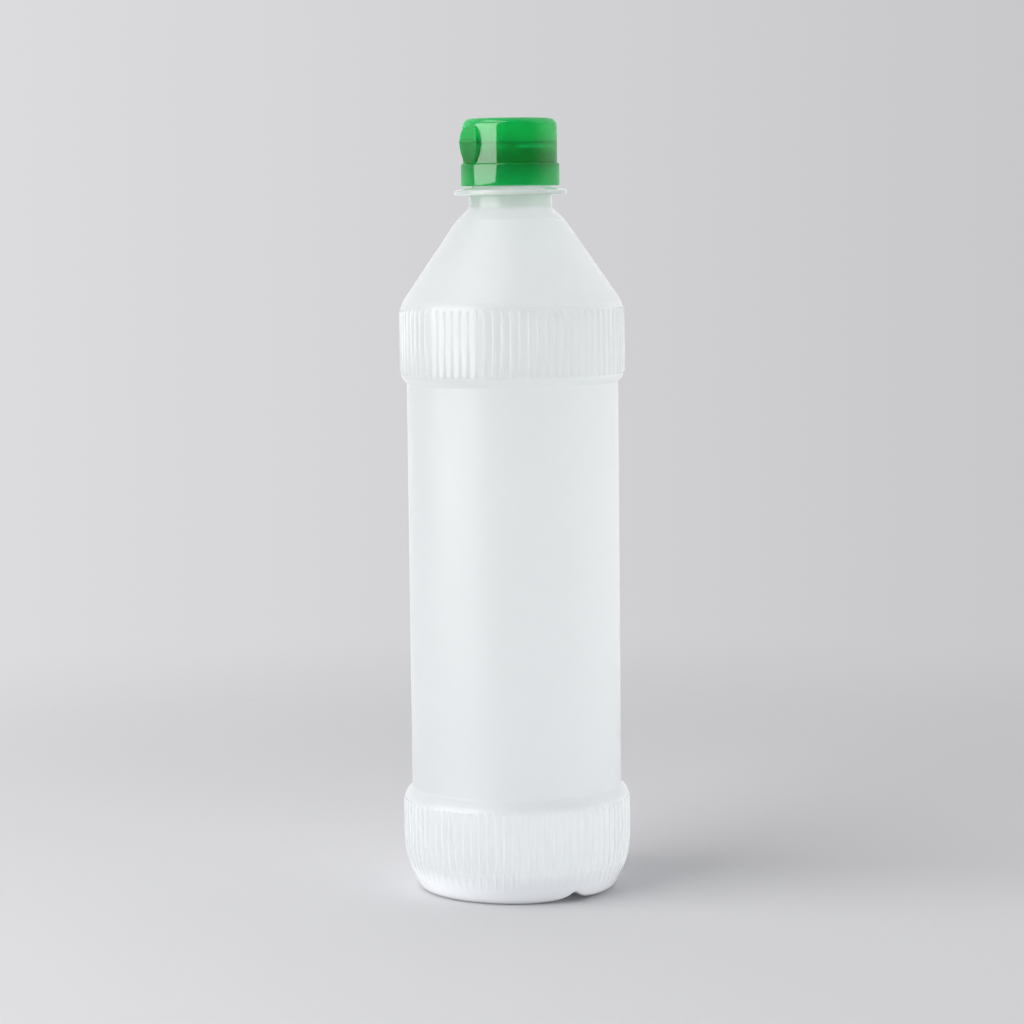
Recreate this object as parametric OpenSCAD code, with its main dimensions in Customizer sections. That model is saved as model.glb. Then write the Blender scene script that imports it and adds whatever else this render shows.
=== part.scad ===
// Squeeze bottle of blown plastic with two ribbed bands and a screw cap with a flip-up lid.
// Millimetres, +Z up, standing on z = 0 with its axis on Z. The lid's hinge is on the +Y side.

/* [Bottle body] */
// Diameter of the lower band, measured between its ribs
lower_band_d = 65; // [58:0.1:72]
// Diameter of the upper band, measured between its ribs
upper_band_d = 63.9; // [58:0.1:72]
// Diameter of the plain panel between the bands
panel_d = 60.6; // [50:0.1:61.8]
// Height from the table to where the lower band starts to round over
lower_band_h = 26.2; // [18:0.1:45]
// Height from there to the lower end of the upper band's straight part
panel_h = 123.6; // [40:0.1:200]
// Height of the straight part of the upper band
upper_band_h = 16.5; // [8:0.1:40]
// Rounding of the lower band's top edge
lower_round = 4.2; // [3:0.1:8]
// Rounding of the upper band's bottom edge
upper_round = 4; // [3:0.1:8]
// Rounding of the corner where a band meets the panel
nook_r = 1; // [0.5:0.1:2]
// Wall of the blown body
wall = 0.9; // [0.6:0.05:1.4]

/* [Shoulder and neck] */
// Rounding between the upper band and the cone
shoulder_round = 8; // [4:0.1:14]
// Slope of the cone, measured from the bottle's axis
cone_a = 34.4; // [25:0.1:40]
// How far outside the neck the cone starts to round over
dome_w = 4.6; // [3:0.1:8]
// Radius of that rounding
dome_r = 14; // [8:0.1:20]
// Slope that it reaches at the neck
dome_a = 46; // [42:0.1:55]
// Rounding of the corner at the foot of the neck
neck_fillet = 1.5; // [0.5:0.1:3]
// Diameter of the plain neck below the support ring
neck_d = 23.7; // [20:0.1:30]
// Height of the plain neck
neck_h = 3.1; // [1.5:0.1:10]
// How far the support ring stands out from the neck
ring_out = 4.2; // [2:0.05:6]
// Thickness of the support ring at its edge
ring_edge = 1.3; // [0.8:0.1:2]
// Height of the support ring where it meets the screw finish
ring_h = 2.1; // [2:0.1:3]

/* [Screw finish] */
// Outer diameter of the thread
thread_d = 23.8; // [20:0.1:30]
// Depth of the thread
thread_h = 1.1; // [0.6:0.05:1.5]
// Height of the finish, from the support ring to the rim
finish_h = 10; // [8:0.1:16]
// Wall of the finish at the root of the thread
finish_wall = 1.2; // [0.9:0.05:2]
// Chamfer of the rim's outer edge
rim_chamfer = 0.4; // [0.1:0.05:0.6]

/* [Base] */
// How far the foot lies inside the lower band
foot_inset = 6.4; // [5:0.1:10]
// Width of the foot's flat ring
foot_w = 4.5; // [2.5:0.1:8]
// Rounding from the foot to the heel
heel_r = 3.5; // [2:0.1:4.8]
// Rounding of the heel up to the lower band
barrel_r = 33; // [20:0.1:45]
// Rise of the base inside the foot
push_up = 3.5; // [2:0.1:8]
// Wall of the base
base_wall = 1.2; // [0.8:0.05:2]
// Height of the channel that crosses the base along the mould's parting line
channel_h = 2.8; // [2:0.1:3.2]
// Radius of the channel's top
channel_r = 1.5; // [0.8:0.1:2]
// Rounding of the two halves of the foot into the channel
channel_edge = 12; // [6:0.1:16]

/* [Ribs] */
// Ribs round the lower band
lower_ribs = 84; // [40:1:100]
// Ribs round the upper band
upper_ribs = 80; // [40:1:100]
// Width of a rib
rib_w = 0.95; // [0.6:0.05:1.3]
// Height of a rib
rib_h = 0.35; // [0.15:0.05:0.8]
// Height above the table at which the lower ribs start
rib_start_h = 3; // [2.6:0.1:8]
// Length over which a rib runs out at the heel and at the shoulder
rib_run_out = 0.6; // [0.3:0.1:1]
// Angle of the bands' edges towards the panel over which a rib runs out
rib_edge_a = 10; // [5:1:30]
// How far the upper ribs reach onto the shoulder, as an angle of its rounding
rib_shoulder_a = 13; // [10:1:25]

/* [Cap] */
// Radial room between the thread and the inside of the cap
thread_clear = 0.3; // [0.2:0.05:0.6]
// Chamfer of the skirt's lower edge
skirt_edge = 0.3; // [0.1:0.05:0.6]
// Wall of the skirt
skirt_wall = 1.85; // [1.5:0.05:3]
// Wall of the narrower collar above the skirt
collar_wall = 1.25; // [1:0.05:1.45]
// Height of the collar, up to the lid
collar_h = 5.9; // [4:0.1:7]
// Gap between the support ring and the skirt
skirt_gap = 0.4; // [0.3:0.1:2]
// Thickness of the seal washer on the rim
washer_t = 1; // [0.6:0.1:2]
// Radial room round the seal washer
washer_clear = 0.25; // [0.15:0.05:0.5]
// Thickness of the deck over the neck
deck_t = 1.2; // [0.8:0.1:2]
// Height of the collar's edge above the deck
collar_lip = 0.5; // [0.3:0.1:1.5]
// Radial room between the plug ring and the neck's bore
plug_clear = 0.3; // [0.2:0.05:0.5]
// Wall of the plug ring
plug_wall = 0.9; // [0.6:0.05:1.5]
// Depth of the plug ring below the deck
plug_h = 3; // [2:0.1:6]
// Bore of the pouring spout
orifice_d = 3.4; // [2.4:0.1:4]
// Wall of the spout
spout_wall = 0.9; // [0.6:0.05:1.5]
// Height of the spout above the deck
spout_h = 2.2; // [1.5:0.1:3]
// Chamfer of the spout's top edge
spout_edge = 0.3; // [0.1:0.05:0.5]
// Depth of the thumb notch in the front of the collar
notch_depth = 0.6; // [0.3:0.05:0.8]
// Radius of the thumb notch
notch_r = 6; // [4:0.1:9]

/* [Lid] */
// Height of the lid above the split
lid_h = 6.8; // [5.5:0.1:12]
// Wall of the lid
lid_wall = 1.1; // [0.8:0.05:1.2]
// Thickness of the lid's top
lid_top = 1.2; // [0.8:0.1:2]
// Rounding of the lid's top edge
lid_round = 2.3; // [1.4:0.1:3.5]
// Radial room between the lid's pin and the spout's bore
pin_clear = 0.35; // [0.25:0.05:0.6]
// How far the pin dips into the spout
pin_dip = 2.4; // [1:0.1:3]
// Length of the pin's tapered tip
pin_taper = 0.8; // [0.4:0.1:1.2]
// How much narrower the pin is at its tip, all round
pin_point = 0.4; // [0.2:0.05:0.6]

/* [Hinge] */
// How far the hinge pads stand out from the lid at the crease
hinge_out = 0.95; // [0.6:0.05:1.5]
// Width of the pads at the crease
hinge_w = 8.6; // [6:0.1:12]
// Width of the upper pad at its top
upper_pad_w = 6; // [4:0.1:9]
// Height of the upper pad
upper_pad_h = 4.3; // [3:0.1:5]
// How far the top of the upper pad stands out from the lid
upper_pad_out = 0.35; // [0.1:0.05:0.5]
// Width of the lower pad at its bottom
lower_pad_w = 4.2; // [3:0.1:7]

/* [Hidden] */
$fn = 180;
over = 1;
arc_steps = 4;
edge_steps = 8;
rib_end_steps = 2;

lower_r = lower_band_d / 2;
upper_r = upper_band_d / 2;
panel_r = panel_d / 2;
neck_r = neck_d / 2;
foot_r = lower_r - foot_inset;
push_r = foot_r - foot_w;
push_dome_r = (push_r * push_r + push_up * push_up) / (2 * push_up);

// Centres of the roundings along the body's outline, as [radius, height]
heel_c = [foot_r, heel_r];
barrel_dr = barrel_r - foot_inset;
barrel_dz = sqrt(pow(barrel_r - heel_r, 2) - barrel_dr * barrel_dr);
barrel_c = [lower_r - barrel_r, heel_r + barrel_dz];
heel_a = atan2(barrel_dz, barrel_dr);
rib_start_a = asin((rib_start_h - barrel_c[1]) / barrel_r);
rib_root = wall / 2;
upper_crest_a = rib_shoulder_a - angle_of(rib_run_out, shoulder_round);
lower_c = [lower_r - lower_round, lower_band_h];
lower_nook_dr = panel_r + nook_r - lower_c[0];
lower_a = acos(lower_nook_dr / (lower_round + nook_r));
lower_nook_c = [panel_r + nook_r, lower_c[1] + (lower_round + nook_r) * sin(lower_a)];
upper_c = [upper_r - upper_round, lower_band_h + panel_h];
upper_nook_dr = panel_r + nook_r - upper_c[0];
upper_a = acos(upper_nook_dr / (upper_round + nook_r));
upper_nook_c = [panel_r + nook_r, upper_c[1] - (upper_round + nook_r) * sin(upper_a)];
shoulder_c = [upper_r - shoulder_round, upper_c[1] + upper_band_h];
cone_foot = shoulder_c + shoulder_round * [cos(cone_a), sin(cone_a)];
dome_start_r = neck_r + dome_w;
dome_start = [dome_start_r, cone_foot[1] + (cone_foot[0] - dome_start_r) / tan(cone_a)];
dome_c = dome_start - dome_r * [cos(cone_a), sin(cone_a)];
neck_nook_r = neck_r + neck_fillet;
neck_reach = dome_r + neck_fillet - (neck_nook_r - dome_c[0]) * cos(dome_a);
neck_nook_c = [neck_nook_r, dome_c[1] + neck_reach / sin(dome_a)];

// Heights and radii of the neck, the cap and the lid
ring_z = neck_nook_c[1] + neck_h;
ring_r = neck_r + ring_out;
ring_top_z = ring_z + ring_h;
rim_z = ring_top_z + finish_h;
finish_r = thread_d / 2 - thread_h;
bore_r = finish_r - finish_wall;
socket_r = thread_d / 2 + thread_clear;
skirt_r = socket_r + skirt_wall;
collar_r = socket_r + collar_wall;
skirt_z = ring_top_z + skirt_gap;
deck_z = rim_z + washer_t;
deck_top_z = deck_z + deck_t;
split_z = deck_top_z + collar_lip;
collar_z = split_z - collar_h;
top_z = split_z + lid_h;
plug_r = bore_r - plug_clear;
orifice_r = orifice_d / 2;
spout_r = orifice_r + spout_wall;
spout_z = deck_top_z + spout_h;
lid_inner_r = collar_r - lid_wall;
pin_r = orifice_r - pin_clear;
collar_step = skirt_r - collar_r;
hinge_y = collar_r + hinge_out;

body_colour = [0.90, 0.94, 0.93];
cap_colour = [0.02, 0.62, 0.30];
washer_colour = [0.93, 0.93, 0.90];

// Points of an arc about a centre c, from the angle a0 to a1; skip = 1 leaves out the first point
function arc(c, r, a0, a1, skip = 0, steps = arc_steps) = [
    for (i = [skip:steps]) c + r * [cos(a0 + (a1 - a0) * i / steps), sin(a0 + (a1 - a0) * i / steps)]
];

function reversed(list) = [for (i = [len(list) - 1:-1:0]) list[i]];

// Half outline of the body from its foot to its neck, moved inwards by t
function body_outline(t) = concat(
    arc(heel_c, heel_r - t, -90, -heel_a),
    arc(barrel_c, barrel_r - t, -heel_a, 0, 1),
    arc(lower_c, lower_round - t, 0, lower_a),
    arc(lower_nook_c, nook_r + t, 180 + lower_a, 180, 1),
    arc(upper_nook_c, nook_r + t, 180, 180 - upper_a),
    arc(upper_c, upper_round - t, -upper_a, 0, 1),
    arc(shoulder_c, shoulder_round - t, 0, cone_a),
    arc(dome_c, dome_r - t, cone_a, dome_a),
    arc(neck_nook_c, neck_fillet + t, 180 + dome_a, 180)
);

// Underside of the base inside the foot, moved inwards by t
function base_outline(t) =
    arc([0, push_up - push_dome_r], push_dome_r + t, 90, acos(push_r / push_dome_r));

// Angle that a length takes up on an arc of radius r
function angle_of(length, r) = length / r * 180 / PI;

// Crest of a lower rib, and its root inside the wall
function lower_rib_crest() = concat(
    arc(barrel_c, barrel_r + rib_h, rib_start_a + angle_of(rib_run_out, barrel_r), 0),
    [lower_c + [lower_round + rib_h, 0]]
);
function lower_rib_root() = concat(
    arc(barrel_c, barrel_r - rib_root, rib_start_a, 0),
    arc(lower_c, lower_round - rib_root, 0, rib_edge_a, 0, rib_end_steps)
);

// Crest of an upper rib, and its root inside the wall
function upper_rib_crest() = concat(
    [upper_c + [upper_round + rib_h, 0]],
    arc(shoulder_c, shoulder_round + rib_h, 0, upper_crest_a, 0, rib_end_steps)
);
function upper_rib_root() = concat(
    arc(upper_c, upper_round - rib_root, -rib_edge_a, 0, 0, rib_end_steps),
    arc(shoulder_c, shoulder_round - rib_root, 0, rib_shoulder_a, 0, rib_end_steps)
);

module solid_of(points) {
    rotate_extrude() polygon(points);
}

// Ribs of one band, each a narrow sector of the ring that its outline makes
module ribs(count, radius, crest, root) {
    rib_a = angle_of(rib_w, radius);
    for (i = [0:count - 1])
        rotate([0, 0, (i + 0.5) * 360 / count - rib_a / 2])
            rotate_extrude(angle = rib_a) polygon(concat(crest, reversed(root)));
}

module body_solid() {
    solid_of(concat(
        base_outline(0),
        body_outline(0),
        [
            [neck_r, ring_z],
            [ring_r, ring_z],
            [ring_r, ring_z + ring_edge],
            [finish_r, ring_top_z],
            [finish_r, rim_z - rim_chamfer],
            [finish_r - rim_chamfer, rim_z],
            [0, rim_z]
        ]
    ));
}

// Channel across the base between the rounded halves of the foot, made larger by t all round
module base_channel(t) {
    top_c = [0, channel_h - channel_r];
    edge_dz = channel_edge - top_c[1];
    edge_x = sqrt(pow(channel_r + channel_edge, 2) - edge_dz * edge_dz);
    edge_a = atan2(edge_dz, edge_x);
    right = concat(
        [[edge_x, -over]],
        arc([edge_x, channel_edge], channel_edge - t, 270, 180 + edge_a),
        arc(top_c, channel_r + t, edge_a, 90, 1)
    );
    left = [for (i = [len(right) - 2:-1:0]) [-right[i][0], right[i][1]]];
    rotate([90, 0, 90])
        linear_extrude(2 * lower_r + 2 * over, center = true) polygon(concat(right, left));
}

// Inside of the bottle, kept clear of the channel by the wall of the base
module body_cavity() {
    difference() {
        solid_of(concat(
            base_outline(base_wall),
            body_outline(wall),
            [[bore_r, ring_z], [bore_r, rim_z + over], [0, rim_z + over]]
        ));
        base_channel(base_wall);
    }
}

module bottle() {
    color(body_colour)
        difference() {
            union() {
                body_solid();
                ribs(lower_ribs, lower_r, lower_rib_crest(), lower_rib_root());
                ribs(upper_ribs, upper_r, upper_rib_crest(), upper_rib_root());
            }
            base_channel(0);
            body_cavity();
        }
}

module seal_washer() {
    color(washer_colour)
        solid_of([
            [plug_r + washer_clear, rim_z],
            [socket_r - washer_clear, rim_z],
            [socket_r - washer_clear, deck_z],
            [plug_r + washer_clear, deck_z]
        ]);
}

// One side of a hinge pad's face, as widths w0 to w1 at heights z0 to z1
function pad_side(w0, w1, z0, z1) = [
    for (i = [0:arc_steps])
        let (u = i / arc_steps)
        [(w0 + (w1 - w0) * u * u) / 2, z0 + (z1 - z0) * u]
];

// Hinge pad: a face that narrows away from the crease, cut by its profile from the side
module hinge_pad(face, profile) {
    difference() {
        intersection() {
            rotate([90, 0, 180])
                linear_extrude(2 * collar_r)
                    polygon(concat(face, reversed([for (p = face) [-p[0], p[1]]])));
            rotate([90, 0, 90])
                linear_extrude(2 * hinge_w, center = true) polygon(profile);
        }
        cylinder(r = collar_r - lid_wall / 2, h = top_z);
    }
}

module lower_pad() {
    hinge_pad(
        pad_side(hinge_w, lower_pad_w, split_z, collar_z),
        [[0, collar_z], [skirt_r, collar_z], [hinge_y, split_z], [0, split_z]]
    );
}

module upper_pad() {
    pad_top_z = split_z + upper_pad_h;
    outer = [
        for (i = [0:arc_steps])
            let (u = i / arc_steps)
            [hinge_y + (upper_pad_out - hinge_out) * u * u, split_z + upper_pad_h * u]
    ];
    hinge_pad(
        pad_side(hinge_w, upper_pad_w, split_z, pad_top_z),
        concat(outer, [[0, pad_top_z], [0, split_z]])
    );
}

module cap_base() {
    color(cap_colour)
        difference() {
            union() {
                solid_of(concat(
                    [
                        [socket_r, skirt_z],
                        [skirt_r - skirt_edge, skirt_z],
                        [skirt_r, skirt_z + skirt_edge]
                    ],
                    arc([collar_r, collar_z - collar_step], collar_step, 0, 90),
                    [
                        [collar_r, split_z],
                        [lid_inner_r, split_z],
                        [lid_inner_r, deck_top_z],
                        [spout_r, deck_top_z],
                        [spout_r, spout_z - spout_edge],
                        [spout_r - spout_edge, spout_z],
                        [orifice_r, spout_z],
                        [orifice_r, deck_z],
                        [plug_r - plug_wall, deck_z],
                        [plug_r - plug_wall, deck_z - plug_h],
                        [plug_r, deck_z - plug_h],
                        [plug_r, deck_z],
                        [socket_r, deck_z]
                    ]
                ));
                lower_pad();
            }
            translate([0, notch_depth - collar_r - notch_r, split_z - notch_depth])
                sphere(r = notch_r);
        }
}

module lid() {
    inner_round = lid_round - lid_wall;
    ceiling_z = top_z - lid_top;
    pin_z = spout_z - pin_dip;
    color(cap_colour) {
        solid_of(concat(
            [[lid_inner_r, split_z], [collar_r, split_z]],
            arc([collar_r - lid_round, top_z - lid_round], lid_round, 0, 90, 0, edge_steps),
            [
                [0, top_z],
                [0, pin_z],
                [pin_r - pin_point, pin_z],
                [pin_r, pin_z + pin_taper],
                [pin_r, ceiling_z]
            ],
            arc([lid_inner_r - inner_round, ceiling_z - inner_round], inner_round, 90, 0)
        ));
        upper_pad();
    }
}

bottle();
seal_washer();
cap_base();
lid();
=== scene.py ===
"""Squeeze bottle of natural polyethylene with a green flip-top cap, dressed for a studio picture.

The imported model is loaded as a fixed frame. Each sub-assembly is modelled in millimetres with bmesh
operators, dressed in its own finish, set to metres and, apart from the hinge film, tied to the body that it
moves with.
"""

import logging
import math
from dataclasses import dataclass
from enum import Enum
from itertools import accumulate, pairwise

import bmesh
import bpy
from bmesh.types import BMesh, BMEdge, BMFace, BMVert
from bpy.types import Material, Node, NodeSocket, NodeTree, Object, World
from mathutils import Matrix, Vector


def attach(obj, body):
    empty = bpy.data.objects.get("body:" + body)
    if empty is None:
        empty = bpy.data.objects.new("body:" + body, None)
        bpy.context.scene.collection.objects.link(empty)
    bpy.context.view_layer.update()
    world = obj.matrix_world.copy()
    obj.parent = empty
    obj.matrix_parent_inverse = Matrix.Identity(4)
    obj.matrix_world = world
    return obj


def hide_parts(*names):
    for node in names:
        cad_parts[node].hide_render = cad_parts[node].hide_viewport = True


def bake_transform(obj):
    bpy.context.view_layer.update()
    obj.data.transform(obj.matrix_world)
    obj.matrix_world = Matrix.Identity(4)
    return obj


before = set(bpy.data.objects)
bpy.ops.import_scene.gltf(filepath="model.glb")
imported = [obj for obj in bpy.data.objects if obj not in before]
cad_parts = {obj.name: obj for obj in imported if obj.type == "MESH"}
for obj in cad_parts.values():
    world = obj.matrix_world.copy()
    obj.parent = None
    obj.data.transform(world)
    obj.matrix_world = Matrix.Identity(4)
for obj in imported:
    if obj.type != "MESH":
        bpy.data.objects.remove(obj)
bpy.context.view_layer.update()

LOG = logging.getLogger("bottle")
MM = 0.001
# Millimetres within which two points count as one, and within which a cut meets a vertex
NEAR = 0.002
CUT_NEAR = 0.0001
# Power of the facing angle with which a reflection grows towards the edge
EDGE_POWER = 5.0

Point = tuple[float, float]
Inputs = dict[str | int, object]
Source = Node | NodeSocket


class Body(str, Enum):
    """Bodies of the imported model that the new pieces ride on."""

    BOTTLE = "bottle"
    CAP = "cap"
    LID = "lid"


class Slot(str, Enum):
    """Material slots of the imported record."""

    BOTTLE = "natural_polyethylene"
    CAP = "green_polypropylene"


def linear(hex_colour: str) -> tuple[float, float, float, float]:
    """Turn an sRGB hex colour into linear RGBA.

    Args:
        hex_colour: Colour such as "#a0b0c0".

    Returns:
        Red, green and blue in linear light, and an alpha of 1.
    """
    parts = [int(hex_colour[i:i + 2], 16) / 255 for i in (1, 3, 5)]
    red, green, blue = (c / 12.92 if c <= 0.04045 else ((c + 0.055) / 1.055) ** 2.4 for c in parts)
    return red, green, blue, 1.0


def smoothstep(low: float, high: float, value: float) -> float:
    """Ease a value from 0 at low to 1 at high."""
    t = min(max((value - low) / (high - low), 0.0), 1.0)
    return t * t * (3 - 2 * t)


def soft_max(a: float, b: float, blend: float) -> float:
    """Take the larger of two heights, rounded where they differ by less than the blend."""
    h = max(blend - abs(a - b), 0.0) / blend
    return max(a, b) + h * h * blend / 4


def arc(centre: Point, radius: float, start: float, end: float, steps: int, skip: int = 0) -> list[Point]:
    """Lay points on an arc of a half-section between two angles in degrees, without the first few."""
    angles = (math.radians(start + (end - start) * i / steps) for i in range(skip, steps + 1))
    return [(centre[0] + radius * math.cos(a), centre[1] + radius * math.sin(a)) for a in angles]


def line(start: Point, end: Point, steps: int) -> list[Point]:
    """Divide a straight part of a half-section into equal steps, without its first point."""
    (r0, z0), (r1, z1) = start, end
    return [(r0 + (r1 - r0) * i / steps, z0 + (z1 - z0) * i / steps) for i in range(1, steps + 1)]


def lathe(profile: list[Point], columns: int, sectors: int = 12, closed: bool = False) -> BMesh:
    """Spin one sector of a half-section round the Z axis and repeat it to a full turn.

    Args:
        profile: Points of the half-section as radius and height.
        columns: Number of steps in a full turn.
        sectors: Number of equal sectors in a full turn.
        closed: Whether the last point joins the first.

    Returns:
        A welded mesh.
    """
    bm = bmesh.new()
    verts = [bm.verts.new((radius, 0, height)) for radius, height in profile]
    pairs = list(pairwise(verts)) + ([(verts[-1], verts[0])] if closed else [])
    edges = [bm.edges.new(pair) for pair in pairs]
    turn = 2 * math.pi / sectors
    bmesh.ops.spin(
        bm, geom=verts + edges, cent=(0, 0, 0), axis=(0, 0, 1), angle=turn, steps=columns // sectors
    )
    sector = bpy.data.meshes.new("sector")
    bm.to_mesh(sector)
    for _ in range(sectors - 1):
        sector.transform(Matrix.Rotation(turn, 4, "Z"))
        bm.from_mesh(sector)
    bpy.data.meshes.remove(sector)
    bmesh.ops.remove_doubles(bm, verts=bm.verts, dist=NEAR)
    return bm


def join(strips: list[BMesh]) -> BMesh:
    """Put several meshes into one, in order, and free them.

    Args:
        strips: Meshes to put together.

    Returns:
        One mesh that holds their vertices in the same order.
    """
    bm = bmesh.new()
    for strip in strips:
        mesh = bpy.data.meshes.new("strip")
        strip.to_mesh(mesh)
        strip.free()
        bm.from_mesh(mesh)
        bpy.data.meshes.remove(mesh)
    bm.verts.ensure_lookup_table()
    return bm


def ring(bm: BMesh, at: Point) -> list[BMEdge]:
    """Find the edges of a ring round the axis.

    Args:
        bm: Mesh that holds the ring.
        at: Radius and height of the ring.

    Returns:
        The ring's edges.
    """
    def on_ring(vert: BMVert) -> bool:
        """Tell whether a vertex lies on the ring."""
        return abs(vert.co.z - at[1]) < NEAR and abs(vert.co.xy.length - at[0]) < NEAR

    return [edge for edge in bm.edges if on_ring(edge.verts[0]) and on_ring(edge.verts[1])]


def round_edges(bm: BMesh, edges: list[BMEdge], radius: float, segments: int = 3) -> None:
    """Round sharp edges of a moulded piece, with a number of faces across the rounding."""
    bmesh.ops.bevel(
        bm, geom=edges, offset=radius, offset_type="OFFSET", affect="EDGES", segments=segments, profile=0.5,
        material=-1, clamp_overlap=True,
    )


def add_piece(name: str, bm: BMesh, material: Material, sharp: float = 50) -> Object:
    """Make an object of a mesh that was modelled in millimetres, with its faces turned outwards.

    Args:
        name: Name of the piece.
        bm: Its mesh, which is freed.
        material: Its finish.
        sharp: Angle in degrees above which an edge is shaded as sharp.

    Returns:
        The object, at the origin and in metres.
    """
    bmesh.ops.recalc_face_normals(bm, faces=bm.faces)
    bmesh.ops.scale(bm, vec=(MM, MM, MM), verts=bm.verts)
    mesh = bpy.data.meshes.new(name)
    bm.to_mesh(mesh)
    bm.free()
    mesh.shade_smooth()
    mesh.set_sharp_from_angle(angle=math.radians(sharp))
    mesh.materials.append(material)
    piece = bpy.data.objects.new(name, mesh)
    bpy.context.scene.collection.objects.link(piece)
    LOG.info("%s: %d faces", name, len(mesh.polygons))
    return piece


def add_node(tree: NodeTree, kind: str, inputs: Inputs | None = None, **settings: object) -> Node:
    """Add a node with its settings, and set or link its inputs.

    Args:
        tree: Node tree that takes the node.
        kind: Type of the node, without the word ShaderNode.
        inputs: By input name, a value, an output socket or a node that stands for its first output.
        settings: Properties of the node.

    Returns:
        The new node.
    """
    node = tree.nodes.new("ShaderNode" + kind)
    for key, value in settings.items():
        setattr(node, key, value)
    for key, value in (inputs or {}).items():
        source = value.outputs[0] if isinstance(value, Node) else value
        if isinstance(source, NodeSocket):
            tree.links.new(source, node.inputs[key])
        else:
            node.inputs[key].default_value = source
    return node


def new_material(name: str) -> tuple[Material, NodeTree, NodeSocket]:
    """Make a material with an empty node tree.

    Args:
        name: Name of the material.

    Returns:
        The material, its node tree and the place on the piece, in metres.
    """
    material = bpy.data.materials.new(name)
    material.use_nodes = True
    tree = material.node_tree
    tree.nodes.clear()
    return material, tree, add_node(tree, "TexCoord").outputs["Object"]


def ramp(tree: NodeTree, value: Source, start: Point, end: Point, smooth: bool = False) -> Node:
    """Map a value onto a ramp that stays level beyond its ends.

    Args:
        tree: Node tree that takes the node.
        value: Value to map.
        start: Value at which the ramp starts, and the result there.
        end: Value at which the ramp ends, and the result there.
        smooth: Whether the ramp eases in and out.

    Returns:
        The node that gives the result.
    """
    (low, first), (high, last) = start, end
    inputs: Inputs = {"Value": value, "From Min": low, "From Max": high, "To Min": first, "To Max": last}
    return add_node(tree, "MapRange", inputs, interpolation_type="SMOOTHSTEP" if smooth else "LINEAR")


def combine(tree: NodeTree, operation: str, a: Source, b: Source | float) -> Node:
    """Combine two values in a math node."""
    return add_node(tree, "Math", {0: a, 1: b}, operation=operation)


def blend_colours(tree: NodeTree, share: Source, first: str, second: str) -> NodeSocket:
    """Blend from a first to a second sRGB hex colour."""
    inputs: Inputs = {0: share, 6: linear(first), 7: linear(second)}
    return add_node(tree, "Mix", inputs, data_type="RGBA").outputs[2]


def mix_shaders(tree: NodeTree, share: Source | float, first: Source, second: Source) -> Node:
    """Mix a share of a second shader into a first one."""
    return add_node(tree, "MixShader", {0: share, 1: first, 2: second})


def glossy_skin(tree: NodeTree, body: Source, head_on: float, grazing: float, inputs: Inputs) -> Node:
    """Lay a clear reflecting skin over a body of plastic.

    Args:
        tree: Node tree of the material.
        body: Shader under the skin.
        head_on: Share that is reflected head-on.
        grazing: Share that is reflected at a grazing angle.
        inputs: Inputs of the reflecting shader.

    Returns:
        The shader with its skin.
    """
    shine = add_node(tree, "BsdfGlossy", {"Color": linear("#ffffff"), **inputs})
    facing = add_node(tree, "LayerWeight", {"Blend": 0.5}).outputs["Facing"]
    share = ramp(tree, combine(tree, "POWER", facing, EDGE_POWER), (0.0, head_on), (1.0, grazing))
    return mix_shaders(tree, share, body, shine)


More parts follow.
